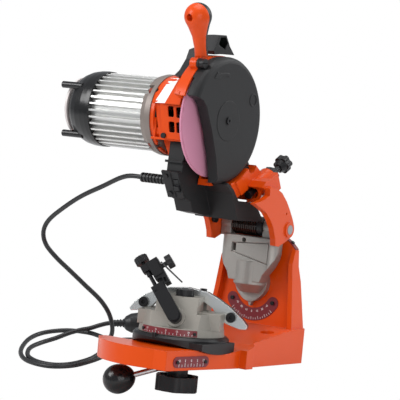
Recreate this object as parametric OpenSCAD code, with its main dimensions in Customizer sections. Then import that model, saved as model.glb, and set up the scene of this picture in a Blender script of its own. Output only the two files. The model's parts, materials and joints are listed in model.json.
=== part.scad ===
// Bench chain grinder. Millimetres. Shapes are drawn level in a machine frame
// (X to the operator's right, Y to the rear, Z up, vise axis at X = Y = 0) and
// then leaned back and lifted, so that the part stands on Z = 0.

/* [Driving] */
// Which node to draw: all, or one node name

/* [Base] */
// Height of the base slab at the front
base_h = 24; // [18:1:32]
// Width of the base over the column
base_w = 136; // [120:1:160]
// Distance from the vise axis back to the rear of the base
base_rear = 196; // [180:1:210]
// Radius of the two bench bolt holes
bench_hole_r = 4.5; // [3:0.25:6]

/* [Head] */
// Radius of the grinding wheel
wheel_r = 72.5; // [65:0.5:75]
// Thickness of the grinding wheel
wheel_t = 4.5; // [3.2:0.1:6.4]
// Radius of the wheel bore
wheel_bore = 11.15; // [10:0.05:11.2]
// Radius of the motor body over its fins
motor_r = 48; // [42:0.5:52]
// Number of cooling fins round the motor
fin_count = 34; // [24:1:40]

/* [Vise] */
// Offset of the vise axis from the middle of the base
vise_x = 5; // [0:1:8]
// Turn of the vise about its own axis as it stands
vise_turn = 20; // [0:1:35]
// Height of the chain slot above the underside of the base
slot_z = 91.5; // [88:0.5:95]

/* [Lock knob] */
// how far the lock knob reaches below the base
knob_z = 35; // [30:0.5:40]

/* [Cord] */
// Radius of the power cord
cord_r = 3.2; // [2.5:0.1:4]

/* [Hidden] */
motor_turn = 8.5;
up_y = -17.5;
up_z = 371;
low_y = 97;
low_z = 249;
$fn = 48;
lean = 11.8;
off = [63.65, -65.52, 40.09];
py = 153;
pz = 172;
wy = 33;
wz = 304;
route = [[-20.5, -10.11, 256.3], [-39.5, -9.11, 255.8], [-59.5, -5.11, 250], [-89.5, -0.11, 236],
  [-128.5, 4.89, 218], [-164.5, 10.89, 197], [-194.5, 16.89, 176], [-207.5, 20.89, 158],
  [-207.5, 24.89, 140], [-194.5, 28.89, 123], [-174.5, 33.89, 105], [-154.5, 38.89, 87],
  [-134.5, 44.89, 68], [-125.5, 50.89, 50], [-125.5, 57.89, 31], [-132.5, 65.89, 16],
  [-143.5, 73.89, 7], [-157.5, 80.89, 3.5], [-173.5, 86.89, 3.2], [-192.5, 90.89, 3.2],
  [-224.5, 84.89, 3.2], [-244.5, 59.89, 3.2], [-242.5, 24.89, 3.2], [-219.5, -21.11, 3.2],
  [-192.5, -50.11, 3.2], [-164.5, -62.11, 3.2], [-135.5, -62.11, 3.2], [-113.5, -45.11, 3.2],
  [-105.5, -15.11, 3.2], [-104.5, 10.89, 3.2], [-100.5, 25.89, 3.2], [-94.5, 38.89, 3.2],
  [-87.5, 50.39, 3.2], [-83, 62.89, 3.2], [-84, 76.39, 3.2], [-92, 87.89, 3.2],
  [-104.5, 93.39, 3.2], [-118.5, 92.39, 3.2], [-130, 84.39, 3.2], [-136, 71.89, 3.2],
  [-135, 57.89, 3.2], [-127.5, 40.89, 3.2], [-116.5, 14.89, 3.2], [-112.5, -13.11, 3.2],
  [-120, -41.11, 3.2], [-137.5, -55.11, 3.2], [-163.5, -55.11, 3.2], [-188.5, -43.11, 3.2],
  [-205.5, -24.11, 3.2], [-215.5, -3.11, 3.2], [-216.5, 20.89, 3.2], [-210.5, 42.89, 4.5],
  [-202.5, 60.89, 8], [-194.5, 75.89, 10], [-187.5, 89.89, 10.3], [-180.5, 101.89, 12.4],
  [-172.5, 110.49, 14.3], [-165.5, 114.89, 14.4], [-159.5, 118.69, 14.4]];
plug_at = [-165.5, 114.89, 0];
plug_turn = 32;
plug_lift = 14.4;
e = 0.01;
black = [0.09, 0.09, 0.09];
orange = [0.9, 0.3, 0.08];
alu = [0.75, 0.75, 0.74];
steel = [0.6, 0.6, 0.62];
maroon = [0.45, 0.1, 0.13];

module mf() translate(off) rotate([-lean, 0, 0]) children();
module vf() mf() translate([vise_x, 0, 0]) rotate([0, 0, vise_turn]) children();
module cx(x0, x1, y, z, r) translate([x0, y, z]) rotate([0, 90, 0]) cylinder(h = x1 - x0, r = r);
module cy(y0, y1, x, z, r) translate([x, y0, z]) rotate([-90, 0, 0]) cylinder(h = y1 - y0, r = r);
module cz(z0, z1, x, y, r) translate([x, y, z0]) cylinder(h = z1 - z0, r = r);
module ex(x0, x1) translate([x0, 0, 0]) rotate([90, 0, 90]) linear_extrude(x1 - x0) children();
module ey(y0, y1) translate([0, y1, 0]) rotate([90, 0, 0]) linear_extrude(y1 - y0) children();
module ez(z0, z1) translate([0, 0, z0]) linear_extrude(z1 - z0) children();
module bx(a, b) translate(a) cube(b - a);

// ---- base and column ----
module plan() {
  difference() {
    union() {
      polygon([[-30, -90], [50, -94], [70, 38], [70.5, base_rear - 8], [64, base_rear],
        [-64, base_rear], [-70.5, base_rear - 8], [-70, 38], [-80, -52]]);
      translate([0, -1]) circle(97, $fn = 120);
    }
    polygon([[50, -94], [70, 38], [120, 38], [120, -140], [49, -140]]);
    polygon([[-80, -52], [-70, 38], [-120, 38], [-120, -52]]);
  }
}
module column2() {
  intersection() {
    polygon([[-66, 0], [-65, 30], [-56, 86], [-49, 140], [-46, 180], [55, 180], [58, 143],
      [67, 45], [69, 30], [70, 0]]);
    union() {
      translate([0, slot_z]) circle(79, $fn = 96);
      translate([-70, 0]) square([140, slot_z]);
    }
  }
}
module base_casting() color(orange) mf() difference() {
  union() {
    intersection() {
      ez(0, 60) plan();
      ex(-90, 80) polygon([[-120, 0], [-120, base_h], [20, base_h], [168.5, 45],
        [base_rear, 45], [base_rear, 0]]);
    }
    intersection() {
      ey(160, base_rear) column2();
      ex(-80, 80) polygon([[160, 0], [160, 128], [167.5, 146], [167.5, 175], [176, 175],
        [176, 125], [182, 105], [195, 5], [base_rear, 0]]);
      ez(-1, 180) plan();
    }
    bx([60, 12, 0], [66, 18, 3]);
  }
  // recess between the side lips
  ey(150, 168) polygon([[-56, 44], [-49, 86], [-43, 140], [-40, 180], [49, 180], [52, 143],
    [60, 44]]);
  // curved seat, slot and the channel under it
  cx(-90, 90, 0, 168, 150, $fn = 180);
  for (y = [-36, 32]) cz(-1, 40, vise_x, y, 6.4);
  bx([vise_x - 6.4, -36, -1], [vise_x + 6.4, 32, 40]);
  difference() {
    union() {
      bx([vise_x - 19, -50, -1], [vise_x + 19, 50, 20]);
      bx([vise_x - 26, -58, -1], [vise_x + 26, 40, 7]);
    }
    cx(-90, 90, 0, 168, 158, $fn = 180);
  }
  // pockets of the underside, with ribs between them
  for (s = [-1, 1]) {
    translate([s * 21.5, -73, -1]) cube([37, 30, 36], center = true);
    translate([s * 41, -31, 5]) cube([26, 36, 12], center = true);
    translate([s * 42, 11, 5]) cube([30, 38, 12], center = true);
    translate([s * 42, 53, 7]) cube([38, 38, 20], center = true);
    translate([s * 42, 93, 8]) cube([38, 34, 22], center = true);
    translate([s * 40, 166, 8]) cube([34, 34, 22], center = true);
  }
  translate([0, 78, 8]) cube([38, 42, 22], center = true);
  translate([0, 124, 8]) cube([38, 42, 22], center = true);
  translate([0, 168, 8]) cube([38, 36, 22], center = true);
  // bench bolt holes with counterbores, and the bore of the tilt bolt
  for (s = [-1, 1]) {
    cz(-5, 60, s * 50, 130, bench_hole_r);
    cz(33, 60, s * 50, 130, 9);
  }
  cy(150, 200, 0, slot_z, 6.05);
}
module arc_plate(r0, r1, a, t0, t1, w) {
  rm = (r0 + r1) / 2;
  rr = (r1 - r0) / 2 - 0.2;
  ey(t0, t1) translate([0, slot_z]) {
    difference() {
      circle(r1, $fn = 96);
      circle(r0, $fn = 96);
      polygon([[0, 0], [200 * sin(-a), -200 * cos(a)], [-200, 200 * w], [200, 200 * w],
        [200 * sin(a), -200 * cos(a)]]);
    }
    for (s = [-1, 1]) translate([s * rm * sin(a), -rm * cos(a)]) circle(rr);
  }
}
module tilt_scales() color(maroon) mf() {
  arc_plate(27.5, 44, 60, 167.2, 168, 1);
  // strip on the shoulder of the column
  ey(168, 175.5) translate([0, slot_z]) difference() {
    circle(80.2, $fn = 96);
    circle(79, $fn = 96);
    polygon([[0, 0], [140 * cos(44), 140 * sin(44)], [200, -200], [-200, -200], [-200, 200],
      [140 * cos(58), 140 * sin(58)]]);
  }
}
module sidef() mf() translate([50, -94, 0]) rotate([0, 0, -8.616]) children();
module side_scale_plate() color(maroon) sidef() {
  bx([0, 19, 3.5], [0.8, 69, 17]);
  for (y = [19, 69]) cx(0, 0.8, y, 10.25, 6.75);
}
module scale_plate_screws() color(black) mf() {
  for (s = [-1, 1]) cy(164.9, 167.2, s * 35.7 * sin(60), slot_z - 35.7 * cos(60), 2.6);
  translate([0, 172, slot_z]) rotate([0, 38, 0]) translate([0, 0, 80.2]) cylinder(h = 1.6, r = 2.6);
  translate([50, -94, 0]) rotate([0, 0, -8.616]) for (y = [19, 69]) cx(0.8, 2.6, y, 10.25, 2.2);
}
module tilt_bolt() color(steel) mf() {
  cy(160.1, 208, 0, slot_z, 6);
}
module tilt_lock_knob() color(black) mf() difference() {
  union() {
    cy(191, 206, 0, slot_z, 16);
    for (i = [0:5]) cy(191, 206, 17 * cos(60 * i), slot_z + 17 * sin(60 * i), 6);
    cy(186, 192, 0, slot_z, 10);
  }
  cy(180, 210, 0, slot_z, 6.05);
}

// ---- head support ----
module support_bracket() color(alu) mf() difference() {
  union() {
    intersection() {
      ey(139.9, 159.7) polygon([[-42, 158], [42, 158], [42, 139], [40, 130], [34, 119],
        [27, 110], [23.5, 100], [-23.5, 100], [-27, 110], [-34, 119], [-40, 130], [-42, 139]]);
      ez(90, 170) union() {
        for (s = [-1, 1]) translate([s * 30, 152]) circle(12);
        translate([-30, 140]) square([60, 20]);
        translate([-42, 152]) square([84, 8]);
      }
    }
    // rounded nose
    intersection() {
      union() {
        cz(96, 126, 0, 159.7, 23.5);
        translate([0, 159.7, 85]) cylinder(h = 11.1, r1 = 14, r2 = 23.4);
      }
      bx([-30, 130, 70], [30, 159.7, 130]);
    }
    cy(158.5, 167.7, 0, slot_z + 7, 24);
    cy(158.6, 167.6, 0, slot_z, 19);
    ey(160.4, 166.6) polygon([[-8, 88], [8, 88], [1, 67], [-1, 67]]);
    // ears that carry the pivot shaft
    for (x = [[-44.4, -29], [19.5, 44.4]]) {
      cx(x[0], x[1], py, pz, 10);
      bx([x[0] + 0.01, 144, 156], [x[1] - 0.01, 159.5, pz]);
    }
  }
  cx(-60, 60, py, pz, 6.05);
  // pocket behind the cover, cable notch and the two holes in the top edge
  ey(139, 142.2) difference() {
    polygon([[-23, 148], [33, 152], [33, 124], [-23, 136]]);
    polygon([[-16.5, 147.6], [32.1, 151], [32.1, 125.1], [-16.5, 135.6]]);
  }
  bx([-22.4, 139, 137.5], [-17.4, 150, 147]);
  cy(139, 150, -5, 152.5, 3);
  cy(150, 170, 0, slot_z, 6.05);
}
module pivot_shaft() color(steel) mf() cx(-57, 55.4, py, pz, 6);
module spring_bushing() color(black) mf() difference() {
  cx(11.4, 19.3, py, pz, 12.5);
  cx(0, 30, py, pz, 6.05);
}
function coil_pt(i, n, turns, x0, x1, r) =
  let (t = i / n, a = 360 * turns * t)
  [x0 + (x1 - x0) * t, py + r * cos(a), pz + r * sin(a)];
module torsion_spring() color(black) mf() {
  turns = 11;
  n = turns * 16;
  k = 6;
  r = 12;
  w = 1.35;
  pts = [for (i = [0:n]) let (a = 360 * turns * i / n, x = -27.2 + 37 * i / n)
    for (j = [0:k - 1]) let (b = 360 * j / k)
      [x + w * sin(b), py + (r + w * cos(b)) * cos(a), pz + (r + w * cos(b)) * sin(a)]];
  faces = concat(
    [[for (j = [0:k - 1]) j]],
    [[for (j = [k - 1:-1:0]) n * k + j]],
    [for (i = [0:n - 1]) for (j = [0:k - 1])
      [i * k + j, (i + 1) * k + j, (i + 1) * k + (j + 1) % k, i * k + (j + 1) % k]]);
  polyhedron(pts, faces, convexity = 10);
}

// ---- arm ----
module leg2() polygon([[66, 204], [86, 209], [99, 215], [98, 224], [103, 226.5], [118, 223],
  [128.5, 219], [142, 208], [152, 196.5], [160, 186], [165.3, 177], [165.8, 170], [160.5, 162.6],
  [146, 155.5], [131.5, 150], [124, 151], [122, 160], [115, 174], [106, 184], [94.6, 193],
  [80, 199]]);
module stopf() mf() translate([24, 102, 217]) rotate([28.8, 0, 0]) rotate([-90, 0, 0]) children();
module arm_casting() color(orange) difference() {
  union() {
    mf() {
      ex(45, 53) leg2();
      ex(-53, -45) leg2();
      cx(53, 55, py, pz, 10);
      cx(-55, -53, py, pz, 10);
      ex(-46, 46) polygon([[92, 224], [98, 232], [112, 236], [128, 227], [136, 214], [121, 211],
        [116, 214]]);
      ex(-11, 24) polygon([[44, 232], [52, 246], [62, 256], [84, 262], [104, 252], [124, 240],
        [130, 222], [118, 206], [104, 205], [68, 207], [55, 221]]);
      ex(20.5, 23.5) polygon([[60, 218], [129, 203], [84, 180]]);
      ex(22, 26) polygon([[54, 234], [73, 235], [90, 221], [76, 211]]);
    }
    stopf() cylinder(h = 40, r = 13.5);
    stopf() translate([0, 0, 22]) bx([-17, -9, 0], [17, 14, 18]);
  }
  mf() {
    cx(-60, 60, py, pz, 6.06);
    cx(-11.4, 4.9, wy, wz, 83.4, $fn = 120);
    cx(4.8, 60, wy, wz, 80.3, $fn = 120);
    cx(-11.4, 60, low_y, low_z, 8.6);
    cx(40, 60, 144, 192.6, 1.6);
    cx(-60, -40, 125, 176, 3.05);
    // room for the switch box, and the hollow of the beam
    ex(-40, -12.8) polygon([[-14, 240], [-5, 266], [62, 246], [86.6, 223], [112.6, 212.6],
      [134.8, 178.4], [54, 181], [20, 184], [4, 204]]);
    ex(-40, 26.4) box_cut();
    ex(-8, 20) polygon([[72, 208], [100, 206.5], [100, 200], [68, 200]]);
    ex(-6, 18) polygon([[72, 200], [72, 215], [108, 215], [112, 200]]);
  }
  stopf() translate([0, 0, -30]) cylinder(h = 90, r = 4.05);
  stopf() translate([0, 0, -40]) cylinder(h = 52, r = 9);
}
module stop_screw() color(black) stopf() {
  translate([0, 0, -4]) cylinder(h = 72, r = 4);
  translate([0, 0, -10]) cylinder(h = 7, r = 5.2);
  translate([0, 0, 66]) cylinder(h = 7.2, r1 = 5.5, r2 = 9.4);
  translate([0, 0, 73]) cylinder(h = 10.5, r = 9.6);
  for (i = [0:5]) rotate([0, 0, 60 * i]) translate([7.6, 0, 73.2]) cylinder(h = 10.1, r = 4);
}
module stop_lock_nut() color(black) stopf() translate([0, 0, 40.3]) difference() {
  union() {
    cylinder(h = 5, r = 8.5);
    translate([0, 0, 2.4]) cylinder(h = 7, r = 10.4);
    for (i = [0:5]) rotate([0, 0, 60 * i]) translate([8, 0, 2.4]) cylinder(h = 6.6, r = 3.4);
  }
  translate([0, 0, -1]) cylinder(h = 12, r = 4.05);
}

// ---- wheel housing and guard ----
module sector(r, a0, a1) polygon(concat([[0, 0]], [for (i = [0:8])
  let (a = a0 + (a1 - a0) * i / 8) [r * cos(a), r * sin(a)]]));
module wpos() translate([wy, wz]) children();
module flare(d) translate([-62, wy, wz]) rotate([0, 90, 0])
  cylinder(h = 54, r1 = 50 + d, r2 = 67 + d, $fn = 96);
module wheel_housing() color(orange) difference() {
  union() {
    mf() housing_solids();
    // foot of the handle
    handlef() bx([-5.2, -7.6, -3.5], [4.6, 7.6, 5.8]);
  }
  mf() housing_cuts();
}
module housing_solids() {
    // back plate and rim
    ex(-11, -8) wpos() difference() {
      circle(80, $fn = 120);
      difference() {
        sector(120, 160, 268);
        circle(50, $fn = 96);
      }
    }
    ex(-9, 4.6) wpos() difference() {
      circle(80, $fn = 120);
      circle(77.2, $fn = 120);
      sector(120, 161, 268);
    }
    // lug under the wheel
    ex(-11, 4.6) wpos() intersection() {
      difference() {
        circle(83, $fn = 120);
        circle(75, $fn = 120);
      }
      polygon([[0, 0], [120 * cos(267), 120 * sin(267)], [120 * cos(284), 120 * sin(284)]]);
    }
    // lip at the mouth
    ex(-9, -3.4) wpos() polygon([[-76, 27], [-64, 22.4], [-62.5, 25.5], [-75, 31]]);
    // motor housing with its end ring
    difference() {
      cx(-62, -10, wy, wz, 50, $fn = 96);
      cx(-63, -11.5, wy, wz, 46.8, $fn = 96);
      bx([-58, -40, 200], [-11.2, 60, 274]);
      bx([-56.5, -40, 270], [-11.2, -11, 318]);
    }
    // flared front panel above the vents
    intersection() {
      difference() {
        flare(0);
        translate([-0.1, 0, 0]) flare(-3);
      }
      bx([-70, -60, 318], [-8, 33, 400]);
    }
    // vent panel, set forward of the drum behind it
    ey(-13.5, -10.5) polygon([[-56.6, 321], [-56.6, 312], [-46, 274], [-11, 274], [-11, 321]]);
    ey(-18, -11) polygon([[-48, 320.5], [-39, 275], [-9, 275], [-9, 320.5]]);
    bx([-58, -16, 273], [-11, 12, 276]);
    bx([-57, -18, 318], [-9, -10, 321]);
    bx([-57, -13, 274], [-54, 8, 300]);
    ey(8, 11) polygon([[-57, 277], [-52, 267], [-38.2, 243], [-36.2, 243], [-36.2, 277]]);
    // screw lugs
    cx(-5, 4.6, up_y, up_z, 7);
    cx(-9, 4.6, low_y, low_z, 7.6);
}
module housing_cuts() {
  ey(-16.2, 12) polygon([[-44.6, 317], [-36.6, 279], [-12, 279], [-12, 317]]);
  for (v = [[-31, 309, 0], [-18.5, 308.5, 0], [-27.5, 290, 0], [-16.2, 290, 0]]) vent(v[0], v[1]);
  cx(-20, 30, up_y, up_z, 3.05);
  cx(-20, 30, low_y, low_z, 3.05);
  cx(-70, 0, wy, wz, 17.2);
  ex(-12, 5) box_cut();
  translate([0, wy, wz]) rotate([motor_turn, 0, 0]) for (i = [0:3])
    cx(-66, -57, 46 * cos(45 + 90 * i), 46 * sin(45 + 90 * i), 5);
}
module vent(x, z) {
  for (d = [[-2.4, 4.6], [2.4, 4.6], [-0.6, -4.6], [4.2, -4.6]])
    cy(-40, 12, x + d[0], z + d[1], 2);
  ey(-40, 12) translate([x, z]) polygon([[-4.4, 4.6], [-2.6, -4.6], [6.2, -4.6], [4.4, 4.6]]);
  ey(-40, 12) translate([x, z]) polygon([[-2.4, 6.6], [2.4, 6.6], [4.2, -6.6], [-0.6, -6.6]]);
}
module motorf() mf() translate([0, wy, wz]) rotate([motor_turn, 0, 0]) children();

module guard_cut(d) wpos() polygon([[-120, 30 + d], [-75 + d * 0.2, 27 + d],
  [-59 + d * 0.6, 22.4 + d * 0.9], [-50 + d * 0.9, 14.5 + d * 0.5], [-33 + d, -16],
  [-19.5 + d, -46], [-11 + d, -73], [-9 + d, -120], [-120, -120]]);
module wheel_guard() color(black) mf() difference() {
  union() {
    difference() {
      translate([0, wy, wz]) rotate([0, 90, 0]) rotate_extrude($fn = 120)
        polygon([[0, 5], [79.2, 5], [79.2, 15], [78.6, 17.6], [77, 19.9], [74.6, 21.7],
          [71.6, 22.5], [0, 22.5]]);
      ex(4, 30) guard_cut(0);
    }
    cx(22, 22.9, wy, wz, 25);
    cx(22, 23.1, 86.5, 333, 8.4);
    ex(22, 23.1) wpos() polygon([[-40, 50.7], [-34, 59], [-30, 56.6], [-22, 58.4], [-14, 58.9],
      [-6.5, 58.1], [-5.9, 54.3], [-14, 55.2], [-22, 54.6], [-27, 52.6], [-27, 50.9]]);
    cx(5, 8, up_y, up_z, 6.6);
    cx(5, 8, low_y, low_z, 6.6);
  }
  ex(4, 19.6) difference() {
    wpos() circle(76.2, $fn = 120);
    guard_cut(2.8);
  }
  // the wall along the mouth stands off the housing
  ex(4, 8) wpos() polygon([[-70, 60], [-78, 20], [-60, 10], [-20, -78], [8, -78], [-8, -40],
    [-30, 14], [-50, 34]]);
  cx(22.4, 24, 86.5, 333, 6.6);
  for (p = [[up_y, up_z], [low_y, low_z]]) {
    cx(4, 30, p[0], p[1], 3.05);
    cx(8, 30, p[0], p[1], 7);
  }
  cx(10, 30, wy, wz, 2.55);
  ex(4, 26.4) box_cut();
}
module guard_knobs() color(black) mf() difference() {
  for (p = [[up_y, up_z], [low_y, low_z]]) {
    cx(8, 15, p[0], p[1], 6.2);
    cx(-9, 8.1, p[0], p[1], 3);
  }
  for (p = [[up_y, up_z], [low_y, low_z]]) bx([13.4, p[0] - 7, p[1] - 0.8],
    [16, p[0] + 7, p[1] + 0.8]);
}
module handlef() mf() translate([0, -5, 376]) rotate([18.4, 0, 0]) children();
module handle_solid() {
  translate([0, 0, 55]) sphere(17.1, $fn = 60);
  cylinder(h = 16, r1 = 8.4, r2 = 8.1);
  translate([0, 0, 15.9]) cylinder(h = 15, r1 = 8.1, r2 = 9.6);
  translate([0, 0, 30.8]) cylinder(h = 12, r1 = 9.6, r2 = 13.4);
  translate([0, 0, 42.7]) cylinder(h = 6, r1 = 13.4, r2 = 15.8);
}
module handle_front() color(orange) difference() {
  handlef() difference() {
    intersection() {
      handle_solid();
      bx([-20, -20, 5.9], [20, -0.5, 80]);
    }
    cy(-30, -9, -1.6, 57, 4.6);
  }
  mf() cx(4.7, 20, up_y, up_z, 6.9);
}
module handle_rear() color(black) difference() {
  handlef() intersection() {
    handle_solid();
    bx([-20, -0.5, 5.9], [20, 20, 80]);
  }
  mf() cx(4.7, 20, up_y, up_z, 6.9);
}
// ---- wheel, spindle and motor ----
module grinding_wheel() color([0.85, 0.5, 0.6]) mf() difference() {
  union() {
    cx(-wheel_t / 2, wheel_t / 2, wy, wz, wheel_r - 1.6, $fn = 180);
    cx(-wheel_t / 2 + 1.2, wheel_t / 2 - 1.2, wy, wz, wheel_r, $fn = 180);
  }
  cx(-5, 5, wy, wz, wheel_bore);
}
module inner_flange() color(steel) mf() difference() {
  union() {
    cx(-6.5, -wheel_t / 2, wy, wz, 28);
    cx(-wheel_t / 2 - 0.1, wheel_t / 2 - 0.3, wy, wz, wheel_bore - 0.05);
  }
  cx(-10, 5, wy, wz, 5);
}
module outer_flange() color([0.7, 0.05, 0.05]) mf() difference() {
  cx(wheel_t / 2, wheel_t / 2 + 3, wy, wz, 29);
  cx(0, 10, wy, wz, 5);
}
module wheel_nut() color(steel) mf() difference() {
  cx(wheel_t / 2 + 3, wheel_t / 2 + 9, wy, wz, 9.2, $fn = 6);
  cx(0, 20, wy, wz, 5);
}
module rotor_shaft() color(steel) mf() {
  cx(-142, -92, wy, wz, 22);
  cx(-186, -20, wy, wz, 7);
  cx(-20.1, 12.5, wy, wz, 5);
}
module stator() color([0.5, 0.3, 0.15]) mf() difference() {
  union() {
    cx(-140, -94, wy, wz, 37.9);
    cx(-148, -86, wy, wz, 34);
  }
  cx(-150, -80, wy, wz, 22.6);
}
module bearings() color(steel) mf() for (x = [[-73, -64], [-176, -167]]) difference() {
  cx(x[0], x[1], wy, wz, 15);
  cx(-200, 0, wy, wz, 7.05);
}
module motor_fan() color(black) mf() difference() {
  union() {
    cx(-186, -178, wy, wz, 11);
    cx(-180, -178, wy, wz, 33);
    for (i = [0:7]) translate([-185.5, wy, wz]) rotate([45 * i + 11, 0, 0])
      bx([0, -1, 9.5], [6.5, 1, 30]);
  }
  cx(-200, -100, wy, wz, 7);
}
module motor_flange() color([0.45, 0.4, 0.37]) motorf() difference() {
  union() {
    rotate([0, -90, 0]) rotate_extrude($fn = 96)
      polygon([[0, 62], [51.5, 62], [51.5, 70], [49.5, 77], [0, 77]]);
    cx(-62.1, -58, 0, 0, 46.5, $fn = 96);
  }
  cx(-90, -50, 0, 0, 12);
  cx(-73, -50, 0, 0, 15.04);
  for (i = [0:3]) rotate([45 + 90 * i, 0, 0]) {
    cx(-80, -68, 46.5, 0, 6.6);
    bx([-80, 46.5, -6.6], [-68, 60, 6.6]);
    cx(-80, -50, 46, 0, 2.6);
  }
}
module motor_bolts() color([0.45, 0.15, 0.1]) motorf() for (i = [0:3]) rotate([45 + 90 * i, 0, 0]) {
  cx(-73, -68, 46, 0, 4.8, $fn = 6);
  cx(-68.1, -62, 46, 0, 2.5);
}
module motor_body() color(alu) motorf() difference() {
  union() {
    cx(-160, -77, 0, 0, 40.5, $fn = 96);
    for (i = [0:fin_count - 1]) rotate([360 * (i + 0.5) / fin_count, 0, 0]) translate([-160, 0, 0])
      ex(0.3, 82.7) polygon([[39, -2], [motor_r - 0.7, -1.1], [motor_r - 0.7, 1.1], [39, 2]]);
  }
  cx(-170, -70, 0, 0, 37.95, $fn = 96);
}
module post_ring(x0, x1, r) for (i = [0:3]) cx(x0, x1, 44.5 * cos(45 + 90 * i),
  44.5 * sin(45 + 90 * i), r);
module motor_end_cap() color(black) motorf() difference() {
  union() {
    difference() {
      rotate([0, -90, 0]) rotate_extrude($fn = 96)
        polygon([[0, 160], [48.4, 160], [48.8, 166], [48.4, 174], [46.8, 183], [43.6, 191],
          [39.6, 197], [36.4, 200], [33, 201.6], [0, 201.6]]);
      cx(-197, -150, 0, 0, 37, $fn = 96);
      cx(-164, -150, 0, 0, 40.6, $fn = 96);
      for (i = [0:11]) rotate([30 * i, 0, 0]) translate([-200, 0, 0]) bx([-3, -2, 14], [4, 2, 30]);
    }
    // bearing seat on three ribs
    cx(-177, -166, 0, 0, 18);
    for (i = [0:2]) rotate([120 * i, 0, 0]) translate([-177, 0, 0]) bx([0, -3, 15], [9, 3, 38]);
    // posts for the end disc
    post_ring(-212, -180, 4.4);
  }
  cx(-180, -160, 0, 0, 15.04);
}
module end_disc() color([0.8, 0.76, 0.74]) motorf() difference() {
  cx(-205.2, -202.2, 0, 0, 38, $fn = 96);
  post_ring(-210, -200, 4.45);
}
// ---- switch box ----
module box2() polygon([[-12.8, 236], [86, 222.5], [112, 212], [134, 179], [54, 182.6],
  [26.3, 185.9], [18.7, 200.2], [8, 203.6]]);
// slanted lower part that closes the underside of the beam
module wide2() polygon([[70, 180], [52, 214], [38, 224.5], [41, 227], [56, 218.5], [70, 204],
  [110, 203], [133, 179]]);
module box_cut() polygon([[69.4, 179.6], [51.6, 213.6], [36.6, 224.4], [41, 227.4], [56.3, 218.8],
  [70.2, 204.3], [110.2, 203.3], [133.6, 178.8]]);
module switch_box() color(black) difference() {
  mf() {
    ex(-38, -13) box2();
    ex(-38, 26) wide2();
    ex(-36, -13) polygon([[-6, 233], [-4, 272], [8, 272], [14, 256], [58, 244], [84, 222],
      [60, 220]]);
    bx([-38, -9, 246], [-12, 8, 249]);
  }
  mf() {
    ex(-35, -16) polygon([[-8, 233.5], [84, 220], [109, 209.5], [128, 184], [56, 186],
      [29, 189], [21, 203], [9, 207]]);
    bx([-33, -1, 230], [-20, 4.6, 269]);
  }
  coverf() bx([2.8, -1, -33.6], [23.2, 6, -2.6]);
}
module coverf() mf() translate([-38, -12.9, 236]) rotate([32.7, 0, 0]) children();
module switch_cover() color(black) coverf() difference() {
  union() {
    bx([0, -3, -38.2], [25, 0, 0]);
    bx([1.5, -4.2, -36.5], [13.5, -2.9, -1.5]);
  }
  for (z = [-5.4, -31]) cy(-10, 10, 7, z, 1.6);
  bx([15.2, -5, -28.4], [23.2, 1, -9.6]);
}
module head_screws() color(black) {
  mf() {
    cx(-45, -40.6, 125, 176, 5.2);
    cx(-53, -45, 125, 176, 3);
    difference() {
      union() {
        cx(22.9, 24.5, wy, wz, 4.6);
        cx(15, 23, wy, wz, 2.5);
      }
      cx(23.4, 26, wy, wz, 2.2, $fn = 6);
    }
  }
  coverf() for (z = [-5.4, -31]) {
    cy(-6, -4.2, 7, z, 3.1);
    cy(-4.3, -0.2, 7, z, 1.55);
  }
  mf() {
    cy(-20.4, -18, -37, 278.5, 3.4);
  }
}
module switch_rocker() color(black) coverf()
  translate([19.2, -0.4, -19]) rotate([0, 90, 0]) difference() {
    translate([0, 0, -3.5]) cylinder(h = 7, r = 8.6);
    translate([-20, -0.6, -10]) cube([40, 20, 20]);
    translate([-20, -9, -10]) cube([20, 6.2, 20]);
    translate([-1, -26, -10]) cube([40, 20, 20]);
  }
module strain_relief() color(black) mf() difference() {
  union() {
    cx(-84, -38, 10, 223, 5);
    for (i = [0:6]) cx(-83 + i * 5, -80.6 + i * 5, 10, 223, 6.2);
    cx(-44, -38, 10, 223, 7);
  }
  cx(-100, -50, 10, 223, cord_r);
}

// ---- saddle, lock stud and clamp lever ----
module vm() mf() translate([vise_x, 0, 0]) children();
module vise_saddle() color(black) vm() difference() {
  intersection() {
    union() {
      cz(10, 34, 0, 0, 60);
      translate([0, 0, 34]) cylinder(h = 3, r1 = 60, r2 = 57);
      bx([10, -43, 10], [61, 29, 32]);
      cz(33, 39.5, 0, -58.8, 3);
    }
    cx(-90, 90, 0, 168, 149.8, $fn = 180);
  }
  cz(0, 60, 0, 0, 6.06);
  for (s = [-1, 1]) bx([s * 36 - 15, -26, 0], [s * 36 + 15, 26, 32]);
}
module lock_stud() color(steel) vm() {
  cz(-31.5, 60, 0, 0, 6);
  cz(60, 63, 0, 0, 9);
}
module clamp_washer() color(steel) vm() difference() {
  intersection() {
    bx([-15, -14, 1.5], [15, 14, 12]);
    difference() {
      cx(-90, 90, 0, 168, 200, $fn = 180);
      cx(-90, 90, 0, 168, 158.3, $fn = 180);
    }
  }
  cz(-10, 20, 0, 0, 6.06);
}
module lock_knob() color(black) vm() difference() {
  union() {
    translate([0, 0, -knob_z]) cylinder(h = 19, r = 26.2);
    for (i = [0:5]) cz(-knob_z, -knob_z + 19, 17.6 * cos(60 * i), 17.6 * sin(60 * i), 10.4);
    cz(-knob_z, -14, 0, 0, 13);
  }
  difference() {
    cz(-knob_z + 5, 0, 0, 0, 21.5);
    cz(-knob_z, 0, 0, 0, 13);
  }
  cz(-knob_z + 3, 0, 0, 0, 6.05);
}
module clamp_hub() color(black) vm() difference() {
  union() {
    cz(-13.7, 1.2, 0, 0, 13);
    translate([-6, -5.2, -6.4]) rotate([0, 0, 209]) bx([0, -6, -6], [17, 6, 5]);
  }
  cz(-20, 10, 0, 0, 6.06);
  levf() cylinder(h = 40, r = 3.55);
}
module levf() translate([-11, -9.6, -5.8]) rotate([0, 0, 206]) rotate([0, 111, 0]) children();
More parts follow.
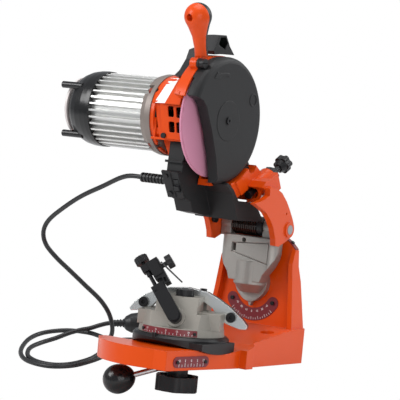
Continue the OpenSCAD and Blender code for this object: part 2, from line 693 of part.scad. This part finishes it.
module clamp_rod() color([0.8, 0.8, 0.8]) vm() levf() cylinder(h = 52, r = 3.5);
module ball_grip() color(black) vm() levf() difference() {
  translate([0, 0, 63.5]) rotate_extrude($fn = 72) polygon(concat([[0, -21.5]],
    [for (a = [-80:10:80]) [18.6 * cos(a), (a < 0 ? 22.5 : 19) * sin(a)]], [[0, 19]]));
  translate([0, 0, 36]) cylinder(h = 16.1, r = 3.51);
}
// ---- vise ----
module stopv() vf() translate([1, -46.5, 61.2]) rotate([-17, 0, 0]) children();
module vise_body() color(alu) difference() {
  union() {
    vf() {
      translate([0, 0, 37.3]) cylinder(h = 9.7, r1 = 53.5, r2 = 52.5, $fn = 96);
      difference() {
        translate([0, 0, 46.9]) cylinder(h = 18, r1 = 52, r2 = 48.5, $fn = 96);
        ex(-60, 60) polygon([[-80, 46.8], [-42.6, 46.8], [-30.6, 85], [-80, 85]]);
      }
      ex(-27, 26) polygon([[-42.4, 46.5], [-30.4, 84.9], [-5.3, 84.9], [-5.3, 46.5]]);
      bx([-27, 9, 46.5], [27, 36, 80]);
      bx([-30, -6, 46.5], [30, 12, 68]);
      bx([-50, -30, 46.5], [-30, -5.3, 64]);
      bx([24, -28, 46.5], [54, -5.3, 67]);
    }
    stopv() cy(4.8, 22, 0, 0, 12);
  }
  vf() {
    bx([-90, -5.3, 57], [-39, 9, 100]);
    bx([39, -5.3, 52], [90, 9, 100]);
    cz(30, 60.2, 0, 0, 6.06);
    cz(60, 90, 0, 0, 9.3);
    bx([-90, -5.3, 66], [90, 9, 100]);
    cz(76, 90, 5, -20, 3.55);
    cz(60, 90, 18, 22, 3.05);
  }
  stopv() cy(4, 23, 0, 0, 4.05);
  // lightening pockets under the rear
  vf() for (s = [-1, 1]) translate([s * 26, 14, 0]) bx([-11, -8, 30], [11, 16, 42]);
}
module vise_scale() color(maroon) vf() difference() {
  translate([0, 0, 38.2]) cylinder(h = 7.8, r1 = 54.2, r2 = 53.5, $fn = 96);
  translate([0, 0, 38.1]) cylinder(h = 8.2, r1 = 53.45, r2 = 52.6, $fn = 96);
  rotate([0, 0, -7]) linear_extrude(60) polygon([[0, 0], [90 * sin(42), -90 * cos(42)], [90, 90],
    [-90, 90], [-90 * sin(42), -90 * cos(42)]]);
}
module jaw2() polygon([[-68, 61], [-62, 70], [-50, 80], [-38, 86], [-24, 91.5], [4, 94.4],
  [30, 91], [45, 84], [62, 74], [76, 63], [83, 55], [82, 51], [74, 50.5], [60, 54], [50, 58],
  [44, 64], [38, 72], [26, 79], [-20, 79], [-32, 76], [-40, 66], [-52, 60], [-66, 58]]);
module jawscrew_holes(r) for (p = [[-50, 70.7], [62.4, 63.7]]) cy(-20, 40, p[0], p[1], r);
module fixed_jaw() color(alu) vf() difference() {
  union() {
    ey(-5, -1) jaw2();
    ey(-5, -1) polygon([[-22, 70], [22, 70], [26, 80], [-20, 80]]);
  }
  jawscrew_holes(3.03);
}
module moving_jaw() color([0.25, 0.25, 0.26]) vf() difference() {
  union() {
    ey(1.2, 5.2) jaw2();
    ey(1.2, 5.2) polygon([[-22, 70], [22, 70], [26, 80], [-20, 80]]);
  }
  jawscrew_holes(3.06);
}
module vise_screws() color(black) vf() difference() {
  union() {
    for (p = [[-50, 70.7], [62.4, 63.7]]) {
      cy(-9, -5, p[0], p[1], 6.3);
      cy(-5.1, 12, p[0], p[1], 3);
    }
    for (a = [-45, 31]) rotate([0, 0, a]) cy(-56, -54.3, 0, 42, 1.9);
    cz(66, 80, 18, 22, 3);
    cz(80, 93, 18, 22, 4.4, $fn = 6);
  }
  for (p = [[-50, 70.7], [62.4, 63.7]]) cy(-10, -6.4, p[0], p[1], 2.9, $fn = 6);
}
module vise_top_knob() color(black) vf() difference() {
  union() {
    cz(85.2, 93, 5, -20, 10.6);
    for (i = [0:11]) cz(85.2, 93, 5 + 10.4 * cos(30 * i), -20 + 10.4 * sin(30 * i), 1);
    cz(76.5, 86, 5, -20, 3.5);
  }
}

// ---- chain stop ----
module armf() stopv() rotate([0, -37.6, 0]) children();
module stop_arm() color(black) armf() difference() {
  union() {
    cy(-4.5, 4.5, 0, 0, 8.5);
    bx([-8.5, -4.5, 0], [8.5, 4.5, 46]);
    bx([3.5, -3.5, 45], [8.5, 3.5, 70]);
  }
  cy(-10, 10, 0, 0, 4.06);
  translate([-2.5, 0, 20]) cylinder(h = 30, r = 2.53);
  cy(-6, -3.6, -4.4, 38, 2);
}
module stop_pivot_bolt() color(black) armf() {
  cy(-7.2, -4.6, 0, 0, 6.6);
  cy(-4.7, 21, 0, 0, 4);
}
module stop_carrier() color(black) armf() difference() {
  union() {
    bx([1.4, -7, 50], [16, 7, 76]);
    bx([9.2, -7, 40], [16, 7, 51]);
    bx([-8, -5.5, 66.4], [2, 5.5, 76]);
    bx([2, -8.4, 54], [14, -6.9, 74]);
  }
  bx([3.2, -3.8, 30], [8.8, 3.8, 76.5]);
  bx([10.5, -8, 42], [13.5, -3, 48]);
  translate([-2.5, 0, 60]) cylinder(h = 30, r = 2.56);
  cx(9.5, 20, 0, 64, 3.05);
}
module stop_thumbscrew() color(black) armf() translate([-2.5, 0, 0]) {
  translate([0, 0, 24]) cylinder(h = 60, r = 2.5);
  translate([0, 0, 60.4]) cylinder(h = 5.6, r = 3.6);
  translate([0, 0, 79]) cylinder(h = 9, r = 8);
  for (i = [0:11]) rotate([0, 0, 30 * i]) translate([7.7, 0, 79]) cylinder(h = 9, r = 1);
}
module pawl_knob() color(black) armf() {
  cx(23.2, 31, 0, 64, 8);
  for (i = [0:9]) cx(23.2, 31, 7.8 * cos(36 * i), 64 + 7.8 * sin(36 * i), 1);
  cx(9.8, 23.3, 0, 64, 3);
}
module pawl() color([0.3, 0.3, 0.32]) armf() translate([19, 0, 64]) rotate([0, -17.8, 0]) difference() {
  union() {
    cx(-0.9, 0.9, 0, 0, 5.4);
    ex(-0.9, 0.9) polygon([[-3, 4], [3, 5.2], [11, -4], [18, -14], [22.3, -22], [22.8, -25.3],
      [19.6, -23.6], [13, -16.4], [5, -9], [-3, -5]]);
  }
  cx(-5, 5, 0, 0, 3.8);
}
// ---- eye shield behind the handle ----
module shield_bracket() color(black) mf() difference() {
  union() {
    ex(-30, -13) polygon([[-18, 354], [-8, 361], [4, 376], [9, 388], [18, 391], [19, 384],
      [12, 372], [4, 356], [-2, 350]]);
    ex(-24, -18) polygon([[-14, 354], [0, 350], [14, 350], [14, 372]]);
  }
  cx(-40, 0, 14, 387, 2.05);
  flare(0);
}
module eye_shield() color(black) mf() difference() {
  union() {
    ex(-12.6, 6) polygon([[11, 388.5], [20, 408.5], [36, 410], [46, 397], [58, 386.8], [31, 386.4],
      [14, 384.4]]);
    cx(-30, -12.5, 14, 387, 2);
  }
  ex(-10.6, 7) polygon([[20.4, 397], [24, 406.5], [35.4, 407.6], [40.5, 400.6], [36, 392]]);
  ex(-10.6, 4) polygon([[15.6, 390.6], [22, 405], [37, 406.4], [48, 391], [31, 388.4]]);
}
module shield_lens() color([0.1, 0.45, 0.25]) mf() ex(-10.5, -8.6)
  polygon([[15.9, 390.9], [22.2, 404.8], [36.8, 406.1], [47.6, 391.1], [31, 388.6]]);
// ---- cord ----
function cat(p, i, t) = let (n = len(p) - 1, a = p[max(i - 1, 0)], b = p[i], c = p[i + 1],
  d = p[min(i + 2, n)]) 0.5 * (2 * b + (c - a) * t + (2 * a - 5 * b + 4 * c - d) * t * t
  + (3 * b - a - 3 * c + d) * t * t * t);
function spine(p, k) = concat([for (i = [0:len(p) - 2]) for (j = [0:k - 1]) cat(p, i, j / k)],
  [p[len(p) - 1]]);
module tube(p, r, n) {
  m = len(p) - 1;
  function tan3(i) = let (v = p[min(i + 1, m)] - p[max(i - 1, 0)]) v / norm(v);
  pts = [for (i = [0:m]) let (t = tan3(i), u0 = cross(t, [0, 0, 1]),
    u1 = norm(u0) < 0.05 ? [0, 1, 0] : u0 / norm(u0), w = cross(u1, t))
    for (j = [0:n - 1]) p[i] + r * (cos(360 * j / n) * u1 + sin(360 * j / n) * w)];
  faces = concat(
    [[for (j = [0:n - 1]) j]],
    [[for (j = [n - 1:-1:0]) m * n + j]],
    [for (i = [0:m - 1]) for (j = [0:n - 1])
      [i * n + j, (i + 1) * n + j, (i + 1) * n + (j + 1) % n, i * n + (j + 1) % n]]);
  polyhedron(pts, faces, convexity = 12);
}
module power_cord() color(black) tube(spine(route, 2), cord_r, 10);
module plugf() translate(plug_at) rotate([0, 0, plug_turn]) children();
module cord_plug() color(black) plugf() {
  difference() {
    translate([0, 0, plug_lift]) rotate([0, 90, 0]) rotate_extrude()
      polygon([[0, 0], [4.6, 0], [5.8, 14], [9.6, 17], [13.2, 24], [14.2, 32], [14.2, 42], [0, 42]]);
    translate([-1, 0, plug_lift]) rotate([0, 90, 0]) cylinder(h = 9, r = cord_r);
    for (i = [0:2]) translate([2.5 + i * 4, 0, plug_lift]) rotate([0, 90, 0]) difference() {
      cylinder(h = 2, r = 12);
      translate([0, 0, -1]) cylinder(h = 4, r = 4.2);
    }
  }
  for (s = [-1, 1]) translate([38, s * 9.5, plug_lift]) rotate([0, 90, 0]) cylinder(h = 23, r = 2.4);
}

base_casting();
tilt_scales();
side_scale_plate();
scale_plate_screws();
tilt_bolt();
tilt_lock_knob();
support_bracket();
pivot_shaft();
spring_bushing();
torsion_spring();
arm_casting();
stop_screw();
stop_lock_nut();
wheel_housing();
wheel_guard();
guard_knobs();
handle_front();
handle_rear();
grinding_wheel();
inner_flange();
outer_flange();
wheel_nut();
rotor_shaft();
stator();
bearings();
motor_fan();
motor_flange();
motor_bolts();
motor_body();
motor_end_cap();
end_disc();
switch_box();
switch_cover();
head_screws();
switch_rocker();
strain_relief();
vise_saddle();
lock_stud();
clamp_washer();
lock_knob();
clamp_hub();
clamp_rod();
ball_grip();
vise_body();
vise_scale();
fixed_jaw();
moving_jaw();
vise_screws();
vise_top_knob();
stop_arm();
stop_pivot_bolt();
stop_carrier();
stop_thumbscrew();
pawl_knob();
pawl();
shield_bracket();
eye_shield();
shield_lens();
power_cord();
cord_plug();
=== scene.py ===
import bpy, bmesh, json, math
from mathutils import Matrix, Vector
from mathutils.bvhtree import BVHTree


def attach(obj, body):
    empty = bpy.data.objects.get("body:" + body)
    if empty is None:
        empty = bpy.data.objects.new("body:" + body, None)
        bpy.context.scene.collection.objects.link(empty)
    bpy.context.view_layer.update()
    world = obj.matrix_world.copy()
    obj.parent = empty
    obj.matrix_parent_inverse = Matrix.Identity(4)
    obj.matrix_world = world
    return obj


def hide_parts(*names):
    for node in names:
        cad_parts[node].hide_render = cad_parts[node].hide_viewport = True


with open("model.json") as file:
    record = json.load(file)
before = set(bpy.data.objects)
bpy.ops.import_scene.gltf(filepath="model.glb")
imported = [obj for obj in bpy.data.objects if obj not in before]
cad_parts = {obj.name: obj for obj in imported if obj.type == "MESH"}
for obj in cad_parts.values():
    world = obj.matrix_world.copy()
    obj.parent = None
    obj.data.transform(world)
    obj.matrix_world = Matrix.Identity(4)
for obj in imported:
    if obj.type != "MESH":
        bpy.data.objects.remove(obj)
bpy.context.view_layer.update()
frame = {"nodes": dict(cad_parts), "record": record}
scene = bpy.context.scene
nodes = frame["nodes"]
# The machine leans back in the row frame, and its own origin sits at OFF.
LEAN = math.radians(11.8)
OFF = Vector((0.06365, -0.06552, 0.04009))
# Where the vise stands, how far it is turned, and the height of the head's tilt bolt (mm).
VISE_X = 5.0
VISE_TURN = math.radians(20)
SLOT_Z = 91.5
# Where the right face of the base starts (mm), and how far it is turned.
SIDE_X, SIDE_Y = 50, -94
SIDE_TURN = math.radians(-8.616)
PHOTO_PX = 400
CORD_RADIUS = 0.00309

# ---- camera ----
right = Vector((0.82708, 0.56174, -0.01962)).normalized()
back = Vector((0.55264, -0.80631, 0.21085)).normalized()
up = back.cross(right).normalized()
right = up.cross(back)
cam_data = bpy.data.cameras.new("camera")
cam_data.sensor_width = 36.0
cam_data.lens = 190.385
cam_data.clip_start = 0.1
cam_data.clip_end = 50.0
cam = bpy.data.objects.new("camera", cam_data)
cam_matrix = Matrix((right, up, back)).transposed().to_4x4()
cam_matrix.translation = Vector((1.52175, -2.13112, 0.79050))
cam.matrix_world = cam_matrix
scene.collection.objects.link(cam)
scene.camera = cam


# ---- helpers ----
def machine(x, y, z):
    """A point of the level machine frame, in millimetres, as a point of the row frame."""
    c, s = math.cos(LEAN), math.sin(LEAN)
    return Vector((x / 1000, (y * c + z * s) / 1000, (z * c - y * s) / 1000)) + OFF


def catmull(p, k):
    """Smooth line through the points p, with k steps between one point and the next."""
    out = []
    n = len(p) - 1
    for i in range(n):
        a, b, c, d = (Vector(p[j]) for j in (max(i - 1, 0), i, i + 1, min(i + 2, n)))
        for j in range(k):
            t = j / k
            out.append(0.5 * (2 * b + (c - a) * t + (2 * a - 5 * b + 4 * c - d) * t * t
                              + (3 * b - a - 3 * c + d) * t ** 3))
    out.append(Vector(p[-1]))
    return out


# ---- cord ----
ROUTE = [(-20.5, -10.11, 256.3), (-39.5, -9.11, 255.8), (-59.5, -5.11, 250), (-89.5, -0.11, 236),
         (-128.5, 4.89, 218), (-164.5, 10.89, 197), (-194.5, 16.89, 176), (-207.5, 20.89, 158),
         (-207.5, 24.89, 140), (-194.5, 28.89, 123), (-174.5, 33.89, 105), (-154.5, 38.89, 87),
         (-134.5, 44.89, 68), (-125.5, 50.89, 50), (-125.5, 57.89, 31), (-132.5, 65.89, 16),
         (-143.5, 73.89, 7), (-157.5, 80.89, 3.5), (-173.5, 86.89, 3.2), (-192.5, 90.89, 3.2),
         (-224.5, 84.89, 3.2), (-244.5, 59.89, 3.2), (-242.5, 24.89, 3.2), (-219.5, -21.11, 3.2),
         (-192.5, -50.11, 3.2), (-164.5, -62.11, 3.2), (-135.5, -62.11, 3.2),
         (-113.5, -45.11, 3.2), (-105.5, -15.11, 3.2), (-104.5, 10.89, 3.2), (-100.5, 25.89, 3.2),
         (-94.5, 38.89, 3.2), (-87.5, 50.39, 3.2), (-83, 62.89, 3.2), (-84, 76.39, 3.2),
         (-92, 87.89, 3.2), (-104.5, 93.39, 3.2), (-118.5, 92.39, 3.2), (-130, 84.39, 3.2),
         (-136, 71.89, 3.2), (-135, 57.89, 3.2), (-127.5, 40.89, 3.2), (-116.5, 14.89, 3.2),
         (-112.5, -13.11, 3.2), (-120, -41.11, 3.2), (-137.5, -55.11, 3.2), (-163.5, -55.11, 3.2),
         (-188.5, -43.11, 3.2), (-205.5, -24.11, 3.2), (-215.5, -3.11, 3.2), (-216.5, 20.89, 3.2),
         (-210.5, 42.89, 4.5), (-202.5, 60.89, 8), (-194.5, 75.89, 10), (-187.5, 89.89, 10.3),
         (-180.5, 101.89, 12.4), (-172.5, 110.49, 14.3), (-165.5, 114.89, 14.4),
         (-159.5, 118.69, 14.4)]


def cord_mesh(name, pts, radius):
    """A round tube along the points."""
    cu = bpy.data.curves.new(name, "CURVE")
    cu.dimensions = "3D"
    sp = cu.splines.new("POLY")
    sp.points.add(len(pts) - 1)
    for q, v in zip(sp.points, pts):
        q.co = (*v, 1)
    cu.bevel_depth = radius
    cu.bevel_resolution = 4
    cu.use_fill_caps = True
    tmp = bpy.data.objects.new(name, cu)
    me = bpy.data.meshes.new_from_object(tmp)
    bpy.data.objects.remove(tmp)
    bpy.data.curves.remove(cu)
    o = bpy.data.objects.new(name, me)
    scene.collection.objects.link(o)
    return o


line = [v / 1000 for v in catmull(ROUTE, 5)]
cord = cord_mesh("cord", line, CORD_RADIUS)
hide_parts("power_cord")
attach(cord, "base")


# ---- materials ----
def srgb(r, g, b):
    """A colour of 0 to 255 a channel, made linear."""
    def f(v):
        v /= 255
        return v / 12.92 if v <= 0.04045 else ((v + 0.055) / 1.055) ** 2.4
    return (f(r), f(g), f(b), 1)


def material(name, col, rough=0.4, metal=0.0, coat=0.0, bump=0.0, scale=400.0, edge=0.0006,
             vary=0.0, spec=0.5, trans=0.0):
    """One procedural surface. edge rounds its corners in shading, bump and vary add a noise."""
    mt = bpy.data.materials.new(name)
    mt.use_nodes = True
    nt = mt.node_tree
    b = nt.nodes["Principled BSDF"]
    b.inputs["Base Color"].default_value = col
    b.inputs["Roughness"].default_value = rough
    b.inputs["Metallic"].default_value = metal
    b.inputs["Coat Weight"].default_value = coat
    b.inputs["Coat Roughness"].default_value = 0.08
    b.inputs["Specular IOR Level"].default_value = spec
    b.inputs["Transmission Weight"].default_value = trans
    normal = None
    if edge:
        bev = nt.nodes.new("ShaderNodeBevel")
        bev.samples = 4
        bev.inputs["Radius"].default_value = edge
        normal = bev.outputs["Normal"]
    if bump or vary:
        tc = nt.nodes.new("ShaderNodeTexCoord")
        no = nt.nodes.new("ShaderNodeTexNoise")
        no.inputs["Scale"].default_value = scale
        no.inputs["Detail"].default_value = 3.0
        nt.links.new(tc.outputs["Object"], no.inputs["Vector"])
        if bump:
            bu = nt.nodes.new("ShaderNodeBump")
            bu.inputs["Strength"].default_value = bump
            bu.inputs["Distance"].default_value = 0.0004
            nt.links.new(no.outputs["Fac"], bu.inputs["Height"])
            if normal:
                nt.links.new(normal, bu.inputs["Normal"])
            normal = bu.outputs["Normal"]
        if vary:
            mr = nt.nodes.new("ShaderNodeMapRange")
            mr.inputs["To Min"].default_value = max(0.02, rough - vary)
            mr.inputs["To Max"].default_value = min(1.0, rough + vary)
            nt.links.new(no.outputs["Fac"], mr.inputs["Value"])
            nt.links.new(mr.outputs["Result"], b.inputs["Roughness"])
    if normal:
        nt.links.new(normal, b.inputs["Normal"])
    return mt


M = {
    "orange_paint": material("orange_paint", srgb(212, 72, 8), 0.3, 0, 0.15, 0.04, 900, 0.0012, 0,
                             0.2),
    "orange_plastic": material("orange_plastic", srgb(212, 70, 8), 0.34, 0, 0.1, 0.03, 900, 0.001, 0,
                               0.2),
    "black_plastic": material("black_plastic", srgb(24, 24, 26), 0.45, 0, 0.0, 0.05, 1400, 0.0007,
                              0, 0.35),
    "black_gloss": material("black_gloss", srgb(16, 16, 17), 0.26, 0, 0.1, 0.0, 900, 0.001, 0, 0.4),
    "guard_black": material("guard_black", srgb(30, 30, 31), 0.52, 0, 0.0, 0.12, 2200, 0.0015, 0,
                            0.3),
    "black_metal": material("black_metal", srgb(20, 20, 22), 0.4, 0.2, 0, 0.06, 1200, 0.0006, 0,
                            0.4),
    "raw_cast": material("raw_cast", srgb(160, 157, 152), 0.48, 0.75, 0, 0.9, 420, 0.002, 0.12),
    "polished_alu": material("polished_alu", srgb(222, 224, 222), 0.24, 0.9, 0, 0.1, 700, 0.001,
                             0.06),
    "fins": material("fins", srgb(214, 214, 212), 0.36, 0.8, 0, 0.06, 900, 0.0006),
    "steel": material("steel", srgb(150, 150, 152), 0.3, 1.0),
    "dark_steel": material("dark_steel", srgb(70, 70, 72), 0.32, 0.8),
    "chrome": material("chrome", srgb(215, 215, 215), 0.08, 1.0),
    "scale_maroon": material("scale_maroon", srgb(112, 24, 34), 0.4, 0, 0, 0, 400, 0.0),
    "flange_taupe": material("flange_taupe", srgb(128, 118, 112), 0.42, 0.3, 0, 0.1, 700, 0.001),
    "bolt_rust": material("bolt_rust", srgb(128, 52, 34), 0.45, 0.2),
    "abrasive": material("abrasive", srgb(208, 140, 166), 0.9, 0, 0, 0.9, 2600, 0.0008),
    "red_blotter": material("red_blotter", srgb(200, 24, 22), 0.6),
    "copper_wound": material("copper_wound", srgb(140, 70, 36), 0.5),
    "cord_rubber": material("cord_rubber", srgb(20, 20, 22), 0.42, 0, 0, 0, 1500, 0.0),
    "lens_green": material("lens_green", srgb(48, 150, 96), 0.15, 0, 0.3, 0, 400, 0.0, 0, 0.5, 0.5),
    "disc_grey": material("disc_grey", srgb(206, 198, 196), 0.3),
    "cast_vise": material("cast_vise", srgb(150, 146, 138), 0.5, 0.5, 0, 0.8, 500, 0.0015, 0.1),
    "spring": material("spring", srgb(40, 27, 22), 0.25, 0.5, 0.2, 0, 400, 0.0),
    "white": material("white", srgb(240, 240, 240), 0.4, 0, 0, 0, 400, 0.0),
}
# Nodes whose surface differs from their slot's usual one.
SPECIAL = {"wheel_housing": "orange_plastic", "handle_front": "orange_plastic",
           "motor_end_cap": "black_gloss", "ball_grip": "black_gloss",
           "wheel_guard": "guard_black", "switch_box": "guard_black", "switch_cover": "guard_black",
           "motor_body": "fins", "vise_body": "cast_vise", "torsion_spring": "spring"}
for part in frame["record"]["subparts"]:
    me = nodes[part["node"]].data
    me.materials.clear()
    me.materials.append(M[SPECIAL.get(part["node"], part["material_slot"])])
cord.data.materials.append(M["cord_rubber"])


# ---- marks on the scales, and the blank labels ----
def vise(x, y, z):
    """A point of the turned vise frame, in millimetres, as a point of the row frame."""
    c, s = math.cos(VISE_TURN), math.sin(VISE_TURN)
    return machine(VISE_X + x * c - y * s, x * s + y * c, z)


def side(x, y, z):
    """A point of the frame of the base's right face, in millimetres."""
    c, s = math.cos(SIDE_TURN), math.sin(SIDE_TURN)
    return machine(SIDE_X + x * c - y * s, SIDE_Y + x * s + y * c, z)


def marks(name, body, frame_of, items):
    """Bars and plain numbers laid on a surface. frame_of(a, b) gives a point, its right and its up."""
    bm = bmesh.new()
    for kind, a, b, w, h in items:
        o, right_, up_ = frame_of(a, b)
        if kind == "bar":
            corners = ((-w / 2, 0), (w / 2, 0), (w / 2, h), (-w / 2, h))
            bm.faces.new([bm.verts.new(o + (right_ * u + up_ * v) / 1000) for u, v in corners])
            continue
        cu = bpy.data.curves.new("number", "FONT")
        cu.body = kind
        cu.size = h / 1000
        cu.align_x = "CENTER"
        cu.resolution_u = 3
        tmp = bpy.data.objects.new("number", cu)
        me = bpy.data.meshes.new_from_object(tmp)
        me.transform(Matrix((right_, up_, right_.cross(up_))).transposed().to_4x4())
        me.transform(Matrix.Translation(o))
        bm.from_mesh(me)
        bpy.data.objects.remove(tmp)
        bpy.data.curves.remove(cu)
        bpy.data.meshes.remove(me)
    me = bpy.data.meshes.new(name)
    bm.to_mesh(me)
    bm.free()
    me.materials.append(M["white"])
    o = bpy.data.objects.new(name, me)
    scene.collection.objects.link(o)
    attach(o, body)
    return o


def turn(frame_fn, v):
    """A direction given in one of the frames above, as a direction of the row frame."""
    return (frame_fn(*v) - frame_fn(0, 0, 0)).normalized()


def on_tilt_plate(a, r):
    """Angle in degrees from straight down and radius, on the plate of the tilt scale."""
    t = math.radians(a)
    s, c = math.sin(t), math.cos(t)
    return (machine(r * s, 167.1, SLOT_Z - r * c), turn(machine, (c, 0, s)),
            turn(machine, (-s, 0, c)))


def on_vise_ring(a, z):
    """Angle in degrees from the front and height, on the ring of the vise scale."""
    t = math.radians(a)
    s, c = math.sin(t), math.cos(t)
    r = 54.33 - (z - 38.2) * 0.09
    return vise(r * s, -r * c, z), turn(vise, (c, s, 0)), turn(vise, (0, 0, 1))


def on_side_plate(y, z):
    """Distance along the right face of the base and height, on its scale plate."""
    return side(0.88, y, z), turn(side, (0, 1, 0)), turn(side, (0, 0, 1))


def graduations(step, count, major, start, base, short, long, width):
    """Bars every step degrees, count of them each side of start, longer at each major one."""
    return [("bar", start + i * step, base, width, long if i % major == 0 else short)
            for i in range(-count, count + 1)]


tilt = graduations(5, 9, 3, 0, 43.0, 2.6, 4.0, 0.45)
tilt += [(str(abs(n)), n, 33.0, 0, 3.6) for n in (-45, -30, -15, 0, 15, 30, 45)]
marks("tilt_marks", "base", on_tilt_plate, tilt)
ring = graduations(5, 7, 3, -7, 38.9, 2.2, 3.2, 0.4)
ring += [(str(abs(n)), n - 7, 42.6, 0, 3.0) for n in (-30, -15, 0, 15, 30)]
marks("vise_marks", "vise", on_vise_ring, ring)
plate = [("bar", 44 + i * 5.4, 4.6, 0.5, 4.6 if i % 2 == 0 else 3.0) for i in range(-4, 5)]
plate += [(n, 44 + i * 5.4, 10.6, 0, 4.2) for n, i in (("10", -4), ("5", -2), ("0", 0), ("5", 2),
                                                       ("10", 4))]
marks("side_marks", "base", on_side_plate, plate)


def ray(px, py):
    """Start and direction of the camera's ray through a place in the picture, PHOTO_PX wide."""
    k = cam_data.sensor_width / cam_data.lens / PHOTO_PX
    d = right * ((px - PHOTO_PX / 2) * k) - up * ((py - PHOTO_PX / 2) * k) - back
    return cam_matrix.translation, d.normalized()


def label(name, corners, node, body, cuts=8):
    """A thin blank label laid on a node where the camera sees these four corners."""
    me = nodes[node].data
    bm = bmesh.new()
    bm.from_mesh(me)
    tree = BVHTree.FromBMesh(bm)
    bm.free()
    a, b, c, d = (Vector(v) for v in corners)
    out = bmesh.new()
    grid = {}
    for i in range(cuts + 1):
        for j in range(cuts + 1):
            u, v = i / cuts, j / cuts
            p = a.lerp(b, u).lerp(d.lerp(c, u), v)
            start, way = ray(*p)
            hit, normal, _, _ = tree.ray_cast(start, way)
            if hit:
                grid[i, j] = out.verts.new(hit - way * 0.0003)
    for i in range(cuts):
        for j in range(cuts):
            q = [grid.get(k) for k in ((i, j), (i, j + 1), (i + 1, j + 1), (i + 1, j))]
            if all(q):
                out.faces.new(q)
    mesh = bpy.data.meshes.new(name)
    out.to_mesh(mesh)
    out.free()
    mesh.materials.append(M["white"])
    o = bpy.data.objects.new(name, mesh)
    scene.collection.objects.link(o)
    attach(o, body)
    return o


LABEL_CORNERS = ((173, 74.5), (181, 75), (164.8, 103), (154, 102.6))
label("label_drum", LABEL_CORNERS, "wheel_housing", "arm")


# ---- world, floor and lights ----
world = bpy.data.worlds.new("world")
scene.world = world
world.use_nodes = True
nt = world.node_tree
nt.nodes.clear()
out = nt.nodes.new("ShaderNodeOutputWorld")
mix = nt.nodes.new("ShaderNodeMixShader")
lp = nt.nodes.new("ShaderNodeLightPath")
env = nt.nodes.new("ShaderNodeBackground")
env.inputs["Color"].default_value = (0.92, 0.95, 1.0, 1)
env.inputs["Strength"].default_value = 0.42
white = nt.nodes.new("ShaderNodeBackground")
white.inputs["Color"].default_value = (1, 1, 1, 1)
white.inputs["Strength"].default_value = 1.0
nt.links.new(lp.outputs["Is Camera Ray"], mix.inputs[0])
nt.links.new(env.outputs[0], mix.inputs[1])
nt.links.new(white.outputs[0], mix.inputs[2])
nt.links.new(mix.outputs[0], out.inputs[0])
scene.view_settings.view_transform = "Standard"

fm = bpy.data.materials.new("floor")
fm.use_nodes = True
nt = fm.node_tree
nt.nodes.clear()
out = nt.nodes.new("ShaderNodeOutputMaterial")
mix = nt.nodes.new("ShaderNodeMixShader")
lp = nt.nodes.new("ShaderNodeLightPath")
add = nt.nodes.new("ShaderNodeMath")
add.operation = "MAXIMUM"
em = nt.nodes.new("ShaderNodeEmission")
em.inputs["Color"].default_value = (1, 1, 1, 1)
em.inputs["Strength"].default_value = 1.0
df = nt.nodes.new("ShaderNodeBsdfDiffuse")
df.inputs["Color"].default_value = (0.8, 0.8, 0.8, 1)
nt.links.new(lp.outputs["Is Camera Ray"], add.inputs[0])
nt.links.new(lp.outputs["Is Transmission Ray"], add.inputs[1])
nt.links.new(add.outputs[0], mix.inputs[0])
nt.links.new(df.outputs[0], mix.inputs[1])
nt.links.new(em.outputs[0], mix.inputs[2])
nt.links.new(mix.outputs[0], out.inputs[0])
bpy.ops.mesh.primitive_plane_add(size=12, location=(0, 0, -0.0005))
floor = bpy.context.object
floor.name = "floor"
floor.data.materials.append(fm)


def area(name, loc, target, size, power):
    """A square area light at loc that faces target."""
    ld = bpy.data.lights.new(name, "AREA")
    ld.shape = "RECTANGLE"
    ld.size = size
    ld.size_y = size
    ld.energy = power
    o = bpy.data.objects.new(name, ld)
    o.location = loc
    o.rotation_euler = (Vector(target) - Vector(loc)).to_track_quat("-Z", "Y").to_euler()
    scene.collection.objects.link(o)
    return o


area("key", (-1.3, -1.5, 1.7), (0, 0, 0.2), 1.2, 34)
area("fill", (1.9, -1.6, 0.9), (0, 0, 0.25), 1.4, 16)
area("top", (0.1, 0.2, 1.9), (0, 0, 0.2), 1.3, 22)
area("rim", (0.9, 1.6, 1.1), (0, 0, 0.3), 1.0, 14)
